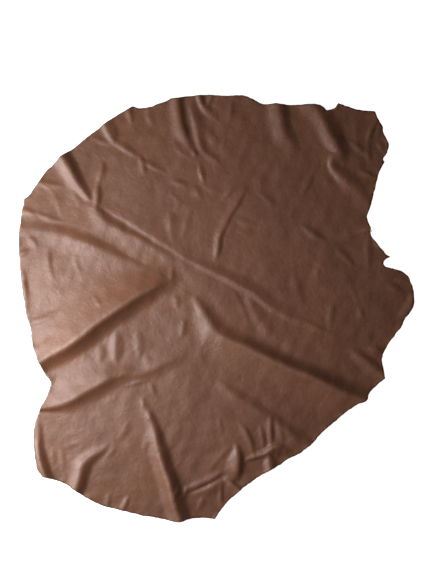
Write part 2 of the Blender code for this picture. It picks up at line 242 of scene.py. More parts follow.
# The main folds. Each is a rounded ridge along a crest: a row for each section of it, with where the
# crest runs, how high it stands, and how far it reaches to the left and to the right of the way it runs.
# Columns: x, y, high, left, right.
MAIN_FOLDS = {
    "upper flank fold": (
        (-400, -130, 13, 85, 32), (-372, -113, 14.5, 90, 32), (-320, -84, 20.5, 95, 35),
        (-280, -55, 23, 100, 37), (-240, -25, 23, 100, 37), (-200, 3, 22.5, 95, 37),
        (-160, 29, 18, 80, 35), (-125, 48, 11, 62, 32), (-100, 60, 4, 40, 26), (-80, 70, 0, 24, 20)),
    "lower flank fold": (
        (-410, -212, 6, 50, 8), (-370, -211, 6, 50, 8), (-345, -208, 7, 50, 14),
        (-320, -200, 10, 55, 25), (-300, -190, 12.5, 60, 31), (-270, -172, 12.5, 60, 33),
        (-240, -155, 12.5, 60, 35), (-215, -143, 9.2, 50, 35), (-190, -137, 6, 40, 32),
        (-165, -138, 4.7, 38, 24), (-140, -133, 5, 38, 26), (-120, -122, 5, 38, 26),
        (-95, -110, 3, 36, 26), (-60, -98, 0, 36, 24)),
    "shoulder fold": (
        (-80, 50, 0, 20, 8), (-120, 71, 1, 25, 9), (-160, 87, 1.5, 32, 11), (-190, 100, 2, 38, 13),
        (-225, 115, 3.5, 44, 18), (-260, 130, 5, 48, 23), (-300, 145, 5, 48, 25),
        (-330, 156, 4.5, 46, 24), (-360, 162, 3, 44, 22), (-400, 167, 2.5, 40, 20),
        (-440, 172, 2.5, 40, 20)),
    "upper shoulder fold": (
        (-85, 98, 0, 20, 10), (-120, 120, 1.5, 25, 11), (-160, 145, 2.5, 35, 11),
        (-200, 164, 4, 40, 16), (-225, 176, 4.5, 42, 20), (-243, 193, 4.5, 40, 18),
        (-262, 215, 2, 30, 12), (-275, 228, 0, 20, 10)),
    "back fold": (
        (235, -52, 0, 10, 16), (190, -36, 1.5, 9, 20), (150, -18, 2.5, 9, 26), (105, 8, 3.5, 8, 28),
        (80, 28, 4.5, 8, 28), (50, 45, 4.5, 8, 28), (20, 62, 4, 8, 24), (-10, 77, 3, 8, 20),
        (-40, 91, 1.2, 8, 16), (-70, 105, 0, 8, 10)),
    "haunch fold": (
        (345, -212, 18, 75, 42), (320, -200, 18, 75, 42), (260, -175, 18, 72, 39),
        (210, -150, 17.5, 66, 35), (150, -125, 16, 60, 32), (80, -92, 14.5, 52, 31),
        (30, -68, 11.5, 54, 34), (0, -50, 9.5, 58, 37), (-20, -20, 6.5, 40, 30),
        (-38, 8, 3.5, 22, 20), (-48, 28, 0, 12, 12)),
    "lower haunch fold": (
        (205, -300, 3, 30, 16), (165, -268, 4, 34, 22), (125, -243, 4.5, 36, 22),
        (80, -212, 4.5, 36, 22),
        (48, -190, 4, 34, 22), (18, -168, 2.5, 26, 16), (0, -155, 0, 20, 12)),
    "bottom fold": (
        (-72, -465, 14.5, 34, 28), (-80, -435, 14.5, 32, 28), (-91, -398, 16, 30, 28),
        (-103, -357, 14.5, 28, 24), (-114, -325, 12, 26, 24), (-124, -285, 9.5, 26, 20),
        (-133, -248, 5, 22, 16), (-146, -215, 1.6, 16, 12), (-157, -185, 0, 10, 10)),
    "lobe rim fold": (
        (-350, -385, 12, 20, 18), (-362, -352, 12, 16, 18), (-373, -322, 11, 12, 20),
        (-377, -295, 7, 10, 16), (-377, -265, 4, 10, 14), (-376, -235, 0, 10, 10)),
    "lobe fold": (
        (-305, -410, 11, 26, 20), (-298, -383, 11, 24, 22), (-289, -352, 10, 24, 24),
        (-280, -328, 7.5, 24, 24), (-262, -313, 5, 20, 18), (-240, -300, 2.5, 14, 12),
        (-225, -285, 0, 12, 10)),
    "top left rim fold": (
        (-252, 214, 0, 8, 7), (-264, 228, 1.5, 10, 9), (-278, 243, 4, 14, 15), (-294, 264, 7.5, 22, 20),
        (-309, 290, 10, 28, 22), (-328, 325, 10, 31, 24), (-345, 358, 10, 31, 24)),
    "crown fold": (
        (-44, 316, 0, 10, 8), (-56, 341, 2, 20, 11), (-68, 370, 4.5, 26, 14), (-77, 400, 5.5, 26, 16),
        (-82, 440, 5.5, 26, 16), (-84, 465, 5.5, 26, 16)),
    "second crown fold": (
        (-8, 308, 0, 8, 8), (-26, 328, 1.8, 9, 14), (-36, 350, 2.8, 10, 18), (-43, 390, 3, 12, 22),
        (-52, 420, 2, 10, 16), (-54, 440, 0, 10, 12)),
    "third crown fold": (
        (15, 385, 0, 10, 20), (-5, 403, 1.5, 12, 20), (-22, 418, 3, 11, 14), (-33, 434, 3.5, 10, 10),
        (-38, 460, 3.5, 10, 10)),
    "top fold": (
        (172, 322, 0, 20, 12), (158, 345, 2.5, 32, 20), (147, 365, 4, 34, 22), (140, 385, 5.5, 34, 22),
        (136, 405, 6.5, 34, 23), (133, 430, 7, 34, 24), (130, 455, 7, 34, 24)),
    "neck fold": (
        (335, 208, 1.5, 25, 16), (305, 238, 2.5, 26, 22), (282, 262, 3.5, 24, 24),
        (262, 281, 4, 16, 24),
        (247, 294, 4, 12, 22), (243, 308, 4, 11, 24), (250, 320, 4.5, 14, 24), (260, 330, 5.5, 22, 26),
        (248, 352, 6.5, 28, 30), (235, 378, 7, 30, 32), (221, 405, 7, 34, 34), (205, 430, 7, 36, 36),
        (190, 455, 7, 36, 36)),
    "side crease": (
        (262, 150, 0, 8, 6), (295, 158, 3, 14, 8), (322, 168, 6, 16, 16), (350, 177, 6, 16, 16)),
    "haunch side fold": (
        (375, -160, 4, 22, 20), (335, -128, 5, 24, 18), (305, -104, 4, 22, 15), (280, -86, 0, 14, 12)),
    "curved back crease": (
        (-2, 98, 0, 10, 6), (4, 125, 3, 14, 8), (8, 150, 3, 16, 8), (20, 175, 2.4, 24, 7),
        (34, 202, 2.2, 26, 6), (50, 228, 2, 24, 6), (68, 258, 0, 16, 6)),
    "crumple, pinched crest": (
        (56, -324, 0, 6, 5), (72, -317, 3, 8, 6), (90, -311, 5, 9, 8), (105, -305, 6.5, 9, 18),
        (118, -295, 7, 9, 30), (133, -291, 6, 9, 34), (146, -295, 3, 8, 26), (162, -300, 0, 8, 12)),
    "crumple, facet": (
        (42, -354, 3, 28, 12), (46, -338, 6.6, 31, 14), (47, -318, 6.2, 26, 14),
        (45, -300, 3.6, 12, 10),
        (41, -285, 0, 6, 6)),
    "crumple, rim end": (
        (118, -365, 6.5, 18, 22), (114, -338, 6.5, 18, 22), (112, -318, 5.5, 15, 20),
        (113, -305, 0, 10, 10)),
    "crumple, low crest": (
        (66, -405, 5, 26, 8), (50, -384, 5, 24, 8), (34, -369, 4, 18, 8), (20, -355, 0, 8, 6)),
}

# The smaller creases, each a short soft ridge from one end to the other. bow is how far its middle
# stands off the straight line, to the left of the way it runs. Columns: x, y, to x, to y, bow, high,
# left, right.
CREASES = (
    # between the two flank folds
    (-213, -114, -210, -50, 1, 3.4, 19, 22), (-160, -102, -166, -52, 2, 2.0, 15, 20),
    (-246, -120, -244, -78, 0, 1.6, 16, 16), (-142, -132, -148, -96, 0, 1.3, 15, 15),
    (-148, -153, -196, -164, 0, 1.8, 9, 5),
    # the left side
    (-344, 62, -352, 128, 5, 1.6, 16, 9), (-283, 60, -300, 112, 0, 1.0, 12, 8),
    (-243, 2, -256, 24, 0, 1.6, 9, 8), (-334, -8, -402, -34, 4, 2.6, 16, 13),
    (-340, -62, -386, -96, 0, 1.2, 14, 12), (-378, 130, -396, 152, 0, 2.2, 12, 10),
    (-395, 122, -420, 108, 0, 3.0, 12, 10), (-402, 15, -410, 82, 0, 2.4, 6, 11),
    # the left shoulder
    (-325, 258, -385, 266, 0, 1.8, 12, 12), (-338, 236, -374, 268, -2, 0.7, 4, 5),
    (-318, 180, -384, 202, 2, 1.6, 10, 8), (-384, 198, -412, 208, 0, 2.4, 12, 10),
    (-325, 198, -336, 232, 0, 0.8, 12, 9), (-285, 214, -305, 252, 0, 1.2, 14, 12),
    (-38, 88, -255, 222, -3, 1.8, 8, 34),
    # above the shoulder
    (-254, 212, -249, 262, 0, 4.6, 13, 13), (-249, 262, -238, 306, 0, 2.6, 13, 13),
    (-104, 283, -162, 311, 0, 1.8, 5, 14), (-160, 315, -222, 354, 0, 2.2, 7, 14),
    (-216, 350, -240, 402, 2, 4.8, 14, 26), (-225, 345, -262, 362, 0, 1.4, 10, 9),
    (-152, 282, -160, 322, 0, 2.4, 12, 10), (-62, 259, -92, 268, 0, 2.0, 10, 12),
    (-178, 392, -188, 432, 0, 2.6, 12, 12), (-136, 385, -146, 430, 0, 1.6, 12, 14),
    # the crown
    (-27, 266, -36, 304, 2, 2.6, 6, 12), (10, 240, -38, 270, 2, 0.8, 10, 12),
    (-42, 318, -50, 334, 0, 2.2, 6, 7), (-45, 310, -92, 352, 4, 1.2, 12, 14),
    (-32, 232, -46, 258, 0, 1.0, 9, 10), (-20, 424, -6, 462, 0, 2.6, 7, 9),
    (10, 302, -24, 328, 0, 1.4, 10, 12), (-28, 385, 0, 350, 0, 1.6, 16, 18),
    (30, 395, 34, 440, 0, 1.2, 8, 8), (12, 330, 20, 360, 0, 1.0, 10, 8),
    # the middle of the back
    (-70, 150, -56, 205, 0, 1.2, 16, 14), (-92, 148, -98, 200, 0, 2.2, 18, 24),
    (-86, 200, -78, 222, 0, 0.8, 8, 10), (-70, 215, -98, 245, 0, 0.8, 9, 10),
    (10, 225, 44, 262, 0, 1.4, 10, 12), (124, 210, 84, 247, -1, 1.3, 6, 16),
    (38, 190, 90, 172, 0, 1.2, 10, 12), (68, -34, 36, 34, -4, 1.0, 14, 7),
    (132, -68, 70, 20, 8, 2.2, 26, 24), (230, 140, 180, 174, 2, 2.2, 14, 14),
    (180, 0, 163, 92, 4, 0.9, 14, 18), (240, -40, 245, 10, 1, 1.5, 14, 15),
    (232, 78, 214, 100, 0, 0.8, 12, 10), (290, 88, 252, 128, 0, 1.6, 10, 12),
    (245, -58, 170, -22, 0, 1.4, 7, 10), (212, 66, 218, 88, 0, 1.0, 9, 9),
    (-72, -60, -68, -24, 0, 1.8, 12, 12), (-80, 0, -90, 30, 0, 1.4, 14, 12),
    (-94, 60, -92, 88, 0, 1.6, 10, 10),
    # the neck
    (326, 304, 322, 350, 3, 1.4, 10, 9), (320, 350, 338, 394, 3, 2.0, 10, 10),
    (340, 360, 346, 388, 0, 1.4, 7, 7), (322, 320, 282, 352, 0, 1.8, 10, 12),
    (345, 272, 300, 292, 0, 2.0, 14, 6), (205, 285, 182, 240, 0, 1.6, 10, 14),
    (300, 330, 292, 395, 0, 0.8, 14, 12), (355, 330, 340, 350, 0, 1.8, 10, 12),
    (246, 262, 222, 270, 0, 1.0, 14, 14),
    # the ragged side
    (320, 84, 322, 150, 0, 1.4, 14, 16), (300, 8, 284, 45, 0, 0.7, 7, 9),
    (312, -22, 300, 2, 0, 1.6, 10, 9), (395, 30, 362, 48, 0, 2.2, 16, 14),
    (420, 30, 385, -20, 8, 3.0, 16, 18), (406, 60, 376, 62, 0, 1.8, 10, 10),
    (352, -92, 322, -84, 0, 2.4, 12, 10),
    # the lower lobe
    (-128, -184, -140, -158, 0, 1.4, 9, 9), (-152, -215, -156, -188, 0, 1.4, 9, 7),
    (-138, -240, -142, -216, 0, 1.0, 8, 8), (-214, -296, -232, -316, 0, 1.4, 12, 10),
    (-318, -296, -290, -282, 0, 1.2, 14, 10), (-322, -342, -326, -302, 0, 1.6, 12, 12),
    (-340, -330, -346, -300, 0, 1.2, 10, 10), (-230, -430, -226, -392, 0, 1.8, 12, 7),
    (-198, -428, -184, -398, 0, 2.6, 12, 8), (-206, -280, -184, -240, 0, 1.0, 12, 12),
    # the crumple
    (-14, -345, 32, -290, 2, 1.2, 16, 8), (-70, -388, 16, -346, -3, 3.4, 18, 6),
    (-46, -392, 24, -358, -2, 3.2, 10, 24), (80, -310, 50, -242, -5, 2.8, 17, 8),
    (100, -298, 92, -248, -3, 2.2, 14, 7), (118, -292, 114, -230, 0, 3.2, 14, 6),
    (140, -282, 130, -236, 0, 1.8, 11, 14), (176, -290, 143, -250, 0, 2.0, 14, 18),
    (-88, -398, -77, -374, 0, 2.4, 6, 6), (-68, -400, -61, -378, 0, 2.4, 6, 6),
    (13, -418, 11, -372, 0, 2.2, 12, 4), (-38, -426, -26, -398, 0, 2.0, 12, 12),
    (-150, -300, -145, -262, 0, 1.4, 14, 16), (12, -262, 6, -232, 0, 1.0, 8, 7),
)


def smooth_curve(rows, step):
    """Points a step apart on the smooth curve through the rows, whose first two columns are x and y."""
    table = np.array(rows, dtype=float)
    ends = np.vstack((2 * table[0] - table[1], table, 2 * table[-1] - table[-2]))
    points = []
    for before, start, end, after in zip(ends, ends[1:], ends[2:], ends[3:]):
        count = max(1, round(np.hypot(*(end - start)[:2]) / step))
        t = (np.arange(count) / count)[:, None]
        slope = (end - before) * t
        bend = (2 * before - 5 * start + 4 * end - after) * t ** 2
        twist = (3 * (start - end) + after - before) * t ** 3
        points.append(start + 0.5 * (slope + bend + twist))
    return np.vstack(points + [table[-1:]])


def fold_profile(share, crest, foot):
    """Height, from 1 to 0, from a fold's crest to its foot: a straight flank between round ends."""
    fall = np.where(share < crest, share ** 2 / (2 * crest), share - crest / 2)
    whole = 1.0 - crest / 2 - foot / 2
    fall = np.where(share > 1.0 - foot, whole - (1.0 - share) ** 2 / (2 * foot), fall)
    return 1.0 - fall / whole


def fold_height(rows, x, y, foot_round=FOOT_ROUND):
    """Height in mm of one fold over the points x, y: a rounded ridge, steeper on its narrower side."""
    crest = smooth_curve(rows, CREST_STEP)
    crest[:, 2:] = np.clip(crest[:, 2:], 0.0, None)
    height = np.zeros_like(x)
    reach = crest[:, 3:].max() + CREST_STEP
    low = crest[:, :2].min(axis=0) - reach
    high = crest[:, :2].max(axis=0) + reach
    near = (x > low[0]) & (x < high[0]) & (y > low[1]) & (y < high[1])
    if not near.any():
        return height
    point = np.stack((x[near], y[near]), axis=1)
    best = np.full(len(point), np.inf)
    value = np.zeros(len(point))
    for start, end in zip(crest, crest[1:]):
        way = end[:2] - start[:2]
        offset = point - start[:2]
        share = np.clip(offset @ way / (way @ way), 0.0, 1.0)
        apart = offset - share[:, None] * way
        distance = np.hypot(apart[:, 0], apart[:, 1])
        tall, left, right = (start[2:] + share[:, None] * (end[2:] - start[2:])).T
        on_left = way[0] * offset[:, 1] - way[1] * offset[:, 0] > 0
        width = np.maximum(np.where(on_left, left, right), 1.0)
        top = np.minimum(CREST_ROUND, CREST_ROUND_MOST / width)
        foot = np.where(on_left, *foot_round)
        rise = tall * fold_profile(np.clip(distance / width, 0.0, 1.0), top, foot)
        closer = distance < best
        best[closer] = distance[closer]
        value[closer] = rise[closer]
    height[near] = value
    return height


def crease_height(row, x, y):
    """Height in mm of one small crease: it swells and dies away along its length."""
    x0, y0, x1, y1, bow, high, left, right = row
    start, end = np.array((x0, y0)), np.array((x1, y1))
    aside = np.array((y0 - y1, x1 - x0)) / np.hypot(x1 - x0, y1 - y0)
    share = np.linspace(-CREASE_FADE, 1.0 + CREASE_FADE, CREASE_SECTIONS)
    swell = np.sin(np.pi * (share + CREASE_FADE) / (1.0 + 2 * CREASE_FADE))
    line = start + share[:, None] * (end - start) + (bow * np.sin(np.pi * share))[:, None] * aside
    reach = CREASE_NARROW + (1.0 - CREASE_NARROW) * swell
    rows = [(*place, high * much, left * wide, right * wide)
            for place, much, wide in zip(line, swell, reach)]
    return fold_height(rows, x, y)


def waves(x, y, longest, shortest, count, seed):
    """Even noise from -1 to 1 or so: many shallow waves of mixed lengths and directions."""
    random = np.random.default_rng(seed)
    total = np.zeros_like(x)
    for _ in range(count):
        length = shortest * (longest / shortest) ** random.random()
        heading, phase = random.random(2) * 2 * math.pi
        along = x * math.cos(heading) + y * math.sin(heading)
        total += np.sin(2 * math.pi * along / length + phase)
    return total / math.sqrt(count / 2) / 2


def hide_height(x, y):
    """Height in mm of the hide's underside over the surface."""
    drift_x = x + DRIFT * waves(x, y, *DRIFT_X_WAVES)
    drift_y = y + DRIFT * waves(x, y, *DRIFT_Y_WAVES)
    squares = sum(
        fold_height(rows, drift_x, drift_y, FOLD_FOOT_ROUND.get(name, FOOT_ROUND)) ** 2
        for name, rows in MAIN_FOLDS.items())
    height = np.sqrt(squares)
    height += sum(crease_height(row, drift_x, drift_y) for row in CREASES)
    height += SWELL_HEIGHT * (1 + waves(x, y, *SWELL_WAVES))
    height += RIPPLE_HEIGHT * (1 + waves(x, y, *RIPPLE_WAVES))
    height += FINE_RIPPLE_HEIGHT * (1 + waves(x, y, *FINE_RIPPLE_WAVES))
    return np.maximum(height, 0.0)


def rim_points():
    """The whole cut edge: each stretch runs smoothly to the corner where the next one starts."""
    starts = [rows[0] for _, rows in RIM_STRETCHES]
    stretches = []
    for (_, rows), corner in zip(RIM_STRETCHES, starts[1:] + starts[:1]):
        stretches.append(smooth_curve(rows + (corner,), RIM_STEP)[:-1])
    return np.vstack(stretches)


def rim_distance(rim, x, y):
    """Distance in mm from each point to the cut edge, negative outside it."""
    point = np.stack((x, y), axis=1)
    nearest = np.full(len(point), np.inf)
    inside = np.zeros(len(point), dtype=bool)
    for start, end in zip(rim, np.roll(rim, -1, axis=0)):
        way = end - start
        offset = point - start
        share = np.clip(offset @ way / (way @ way), 0.0, 1.0)
        apart = offset - share[:, None] * way
        nearest = np.minimum(nearest, np.hypot(apart[:, 0], apart[:, 1]))
        if way[1] != 0.0:
            crosses = (start[1] > y) != (end[1] > y)
            inside ^= crosses & (x < start[0] + way[0] * (y - start[1]) / way[1])
    return np.where(inside, nearest, -nearest)


def places(corners):
    """The corners' x and y as two arrays."""
    return np.array([corner.co[:2] for corner in corners]).T


def ragged_rim():
    """The cut edge as the knife left it, in mm."""
    rim = rim_points()
    ahead = np.roll(rim, -1, axis=0) - np.roll(rim, 1, axis=0)
    outward = np.stack((-ahead[:, 1], ahead[:, 0]), axis=1) / np.hypot(*ahead.T)[:, None]
    wander = waves(rim[:, 0], rim[:, 1], *KNIFE_WAVES)
    return rim + RIM_RAGGED * wander[:, None] * outward


def sheet_grid(rim):
    """Squares over the whole table, those outside the cut edge taken away."""
    sheet = bmesh.new()
    cells = math.ceil(TABLE_LENGTH / CELL) + 2
    bmesh.ops.create_grid(sheet, x_segments=cells, y_segments=cells, size=cells * CELL / 2)
    distance = rim_distance(rim, *places(sheet.verts))
    outer = [corner for corner, inward in zip(sheet.verts, distance) if inward < RIM_MARGIN * CELL]
    while outer:
        bmesh.ops.delete(sheet, geom=outer, context="VERTS")
        outer = [corner for corner in sheet.verts
                 if not corner.link_faces or sum(edge.is_boundary for edge in corner.link_edges) > 2]
    return sheet


def join_rim(sheet, rim):
    """Adds the cut edge and fills the strip between it and the squares."""
    grid_edges = [edge for edge in sheet.edges if edge.is_boundary]
    corners = [sheet.verts.new((x, y, 0.0)) for x, y in rim]
    rim_edges = [sheet.edges.new(pair) for pair in zip(corners, corners[1:] + corners[:1])]
    bmesh.ops.triangle_fill(
        sheet, use_beauty=True, use_dissolve=False, edges=grid_edges + rim_edges, normal=(0.0, 0.0, 1.0))


def rim_curl(x, y, inward):
    """Height in mm of the cut edge's slight curl, uneven along the edge."""
    near = np.clip(1.0 - inward / RIM_LIFT_REACH, 0.0, 1.0)
    uneven = np.clip(RIM_LIFT_USUAL + waves(x, y, *CURL_WAVES), 0.0, None)
    return RIM_LIFT * near ** 2 * uneven


def smoothed(sheet, values, rounds):
    """The values at the sheet's corners, each blended with its neighbours' again and again."""
    links = np.array([[end.index for end in edge.verts] for edge in sheet.edges])
    count = np.bincount(links.ravel(), minlength=len(values))
    for _ in range(rounds):
        total = np.bincount(links[:, 0], values[links[:, 1]], len(values))
        total += np.bincount(links[:, 1], values[links[:, 0]], len(values))
        values = 0.5 * values + 0.5 * total / count
    return values


def piece_of(shape, name, materials):
    """The finished shape as a named object in the scene."""
    mesh = bpy.data.meshes.new(name)
    shape.to_mesh(mesh)
    shape.free()
    for material in materials:
        mesh.materials.append(material)
    piece = bpy.data.objects.new(name, mesh)
    bpy.context.scene.collection.objects.link(piece)
    return piece


def make_hide(edge):
    """The skin: the sheet raised into its folds, with its own thickness and three materials."""
    rim = ragged_rim()
    sheet = sheet_grid(rim)
    join_rim(sheet, rim)
    x, y = places(sheet.verts)
    inward = np.clip(rim_distance(rim, x, y), 0.0, None)
    height = hide_height(x, y) + rim_curl(x, y, inward)
    sheet.verts.index_update()
    relief = height - smoothed(sheet, height, RELIEF_ROUNDS)
    for corner, tall in zip(sheet.verts, height):
        corner.co.z = tall
    bmesh.ops.scale(sheet, vec=(MM, MM, MM), verts=sheet.verts[:])
    bmesh.ops.recalc_face_normals(sheet, faces=sheet.faces[:])
    if sum(face.normal.z for face in sheet.faces) < 0:
        bmesh.ops.reverse_faces(sheet, faces=sheet.faces[:])
    piece = piece_of(sheet, "hide_skin", (grain_side(), flesh_side(), edge))
    mesh = piece.data
    for name, values in (("inward", inward), ("relief", relief)):
        mesh.attributes.new(name, "FLOAT", "POINT").data.foreach_set("value", values.astype(np.float32))
    mesh.shade_smooth()
    wall = piece.modifiers.new("thickness", "SOLIDIFY")
    wall.thickness = THICKNESS
    wall.offset = 1.0
    wall.material_offset = 1
    wall.material_offset_rim = 2
    middle = (cad_low.x + cad_high.x) / 2 - (rim[:, 0].min() + rim[:, 0].max()) / 2 * MM
    for corner in mesh.vertices:
        corner.co.x += middle
    return piece


class Nodes:
    """The nodes of one material or group, added and joined by name."""

    def __init__(self, tree):
        self.tree = tree

    def add(self, kind, inputs=None, **settings):
        """A new node with its settings, and with values or links in its named inputs."""
        node = self.tree.nodes.new(kind)
        for name, value in settings.items():
            setattr(node, name, value)
        for name, value in (inputs or {}).items():
            self.put(value, node.inputs[name])
        return node

    def put(self, value, socket):
        """Sets the socket to a constant, or links it to another node's output."""
        if isinstance(value, bpy.types.NodeSocket):
            self.tree.links.new(value, socket)
        else:
            socket.default_value = value


def fibre_way(random, x, y, heading, length):
    """Points along one loose fibre, from just inside the cut edge out over the floor."""
    rise = hide_height(np.array([x], dtype=float), np.array([y], dtype=float))[0]
    place = Vector((x * MM, y * MM, rise * MM + THICKNESS / 2))
    turn = random.uniform(-FIBRE_BEND, FIBRE_BEND)
    points = [place.copy()]
    for step in range(FIBRE_STEPS):
        way = math.radians(heading) + turn * step / FIBRE_STEPS
        place.x += math.cos(way) * length * MM / FIBRE_STEPS
        place.y += math.sin(way) * length * MM / FIBRE_STEPS
        place.z = max(place.z - FIBRE_DROOP * place.z, 2 * FIBRE_RADIUS)
        points.append(place.copy())
    return points


def add_fibre(tangle, points):
    """A thin tapering tube along the points."""
    ring = bmesh.ops.create_circle(
        tangle, cap_ends=True, segments=FIBRE_SIDES, radius=FIBRE_RADIUS)["verts"]
    facing = (points[1] - points[0]).to_track_quat("Z", "Y").to_matrix().to_4x4()
    bmesh.ops.transform(tangle, matrix=facing, verts=ring)
    bmesh.ops.translate(tangle, vec=points[0], verts=ring)
    edges = [edge for edge in tangle.edges if edge.verts[0] in ring and edge.verts[1] in ring]
    for before, after in zip(points, points[1:]):
        grown = bmesh.ops.extrude_edge_only(tangle, edges=edges)["geom"]
        edges = [part for part in grown if isinstance(part, bmesh.types.BMEdge)]
        ring = [part for part in grown if isinstance(part, bmesh.types.BMVert)]
        bmesh.ops.translate(tangle, vec=after - before, verts=ring)
        middle = sum((corner.co for corner in ring), Vector()) / len(ring)
        for corner in ring:
            corner.co = middle + (corner.co - middle) * FIBRE_TAPER
    bmesh.ops.contextual_create(tangle, geom=edges)


def make_fibres(edge):
    """The loose fibres of every tuft, as one piece."""
    random = np.random.default_rng(SEED + 7)
    tangle = bmesh.new()
    for x, y, heading, spread, length, count in TUFTS:
        for _ in range(count):
            turned = heading + random.uniform(-spread, spread)
            reach = length * random.uniform(FIBRE_SHORTEST, 1.0)
            add_fibre(tangle, fibre_way(random, x, y, turned, reach))
    bmesh.ops.recalc_face_normals(tangle, faces=tangle.faces[:])
    piece = piece_of(tangle, "loose_fibres", (edge,))
    piece.data.shade_smooth()
    return piece


def start_material(name):
    """A material with its nodes and its shader."""
    material = bpy.data.materials.new(name)
    material.use_nodes = True
    nodes = Nodes(material.node_tree)
    return material, nodes, material.node_tree.nodes["Principled BSDF"]


def start_group(name, sockets):
    """A node group with its sockets: rows of name, in or out, kind and a default value."""
    tree = bpy.data.node_groups.new(name, "ShaderNodeTree")
    for label, way, kind, value in sockets:
        socket = tree.interface.new_socket(name=label, in_out=way, socket_type=kind)
        if value is not None:
            socket.default_value = value
    nodes = Nodes(tree)
    start = nodes.add("NodeGroupInput")
    end = nodes.add("NodeGroupOutput")
    return tree, nodes, start, end


def noise(nodes, place, scale, detail, roughness, distortion=0.0):
    """Cloudy noise, from 0 to 1, with so many clouds per metre."""
    return nodes.add("ShaderNodeTexNoise", {
        "Vector": place, "Scale": scale, "Detail": detail, "Roughness": roughness,
        "Distortion": distortion}).outputs["Fac"]


def maths(nodes, operation, first, second, clamp=False):
    """One operation on two values, as its result."""
    node = nodes.add("ShaderNodeMath", operation=operation, use_clamp=clamp)
    nodes.put(first, node.inputs[0])
    nodes.put(second, node.inputs[1])
    return node.outputs[0]


def mixed(nodes, values, shares):
    """Two values added up, each by its share."""
    first, second = [maths(nodes, "MULTIPLY", value, share) for value, share in zip(values, shares)]
    return maths(nodes, "ADD", first, second)


def ramp(nodes, value, low, high, to_low=0.0, to_high=1.0):
    """The value between low and high, eased to run from to_low to to_high."""
    return nodes.add("ShaderNodeMapRange", {
        "Value": value, "From Min": low, "From Max": high, "To Min": to_low, "To Max": to_high,
    }, interpolation_type="SMOOTHSTEP").outputs["Result"]


def vectors(nodes, operation, first, second=None):
    """One operation on one or two vectors, as its node."""
    node = nodes.add("ShaderNodeVectorMath", operation=operation)
    nodes.put(first, node.inputs[0])
    if second is not None:
        nodes.put(second, node.inputs[1])
    return node


def blend(nodes, share, first, second):
    """The first colour with a share of the second."""
    node = nodes.add("ShaderNodeMix", data_type="RGBA", blend_type="MIX")
    nodes.put(share, node.inputs[0])
    first_colour, second_colour = [socket for socket in node.inputs if socket.type == "RGBA"]
    nodes.put(first, first_colour)
    nodes.put(second, second_colour)
    return next(socket for socket in node.outputs if socket.type == "RGBA")


def mottling_group():
    """Cloudy unevenness of dye: a mask from 0 to 1 in patches of the size asked for."""
    tree, nodes, start, end = start_group("dye mottling", (
        ("Patches per metre", "INPUT", "NodeSocketFloat", 8.0),
        ("Mask", "OUTPUT", "NodeSocketFloat", None)))
    place = nodes.add("ShaderNodeTexCoord").outputs["Object"]
    size = start.outputs["Patches per metre"]
    broad = noise(nodes, place, size, 4.0, 0.55, 0.4)
    fine = noise(nodes, place, maths(nodes, "MULTIPLY", size, PATCH_FINER), 3.0, 0.6)
    both = mixed(nodes, (broad, fine), CLOUD_SHARES)
    nodes.put(ramp(nodes, both, *CLOUD_EDGES), end.inputs["Mask"])
    return tree


def pebble_group():
    """The skin's pebbled grain: rounded cells with creases between them, and its fine pores."""
    tree, nodes, start, end = start_group("pebbled grain", (
        ("Cells per metre", "INPUT", "NodeSocketFloat", 450.0),
        ("Height", "OUTPUT", "NodeSocketFloat", None),
        ("Crevice", "OUTPUT", "NodeSocketFloat", None)))
    place = nodes.add("ShaderNodeTexCoord").outputs["Object"]
    size = start.outputs["Cells per metre"]
    sway = nodes.add("ShaderNodeTexNoise", {"Vector": place, "Scale": GRAIN_SWAY_SIZE, "Detail": 2.0})
    bent = nodes.add("ShaderNodeVectorMath", operation="MULTIPLY_ADD")
    nodes.put(sway.outputs["Color"], bent.inputs[0])
    bent.inputs[1].default_value = (GRAIN_SWAY, GRAIN_SWAY, GRAIN_SWAY)
    nodes.put(place, bent.inputs[2])
    cells = nodes.add("ShaderNodeTexVoronoi", {
        "Vector": bent.outputs[0], "Scale": size, "Randomness": 0.9}, feature="DISTANCE_TO_EDGE")
    round_top = ramp(nodes, cells.outputs["Distance"], 0.0, CELL_SHOULDER)
    pores = noise(nodes, place, maths(nodes, "MULTIPLY", size, PORES_FINER), 2.0, 0.6)
    nodes.put(mixed(nodes, (round_top, pores), GRAIN_SHARES), end.inputs["Height"])
    nodes.put(maths(nodes, "SUBTRACT", 1.0, round_top), end.inputs["Crevice"])
    return tree


def mark_group():
    """A thin straight mark on the plan between two points: a mask from 0 to 1."""
    tree, nodes, start, end = start_group("thin mark", (
        ("From", "INPUT", "NodeSocketVector", None),
        ("To", "INPUT", "NodeSocketVector", None),
        ("Half width", "INPUT", "NodeSocketFloat", 0.001),
        ("Mask", "OUTPUT", "NodeSocketFloat", None)))
    place = nodes.add("ShaderNodeTexCoord").outputs["Object"]
    flat = vectors(nodes, "MULTIPLY", place, (1.0, 1.0, 0.0)).outputs[0]
    offset = vectors(nodes, "SUBTRACT", flat, start.outputs["From"]).outputs[0]
    way = vectors(nodes, "SUBTRACT", start.outputs["To"], start.outputs["From"]).outputs[0]
    along = vectors(nodes, "DOT_PRODUCT", offset, way).outputs["Value"]
    whole = vectors(nodes, "DOT_PRODUCT", way, way).outputs["Value"]
    scaled = nodes.add("ShaderNodeVectorMath", operation="SCALE")
    nodes.put(way, scaled.inputs[0])
    nodes.put(maths(nodes, "DIVIDE", along, whole, clamp=True), scaled.inputs["Scale"])
    apart = vectors(nodes, "SUBTRACT", offset, scaled.outputs[0]).outputs[0]
    distance = vectors(nodes, "LENGTH", apart).outputs["Value"]
    nodes.put(ramp(nodes, distance, start.outputs["Half width"], 0.0), end.inputs["Mask"])
    return tree


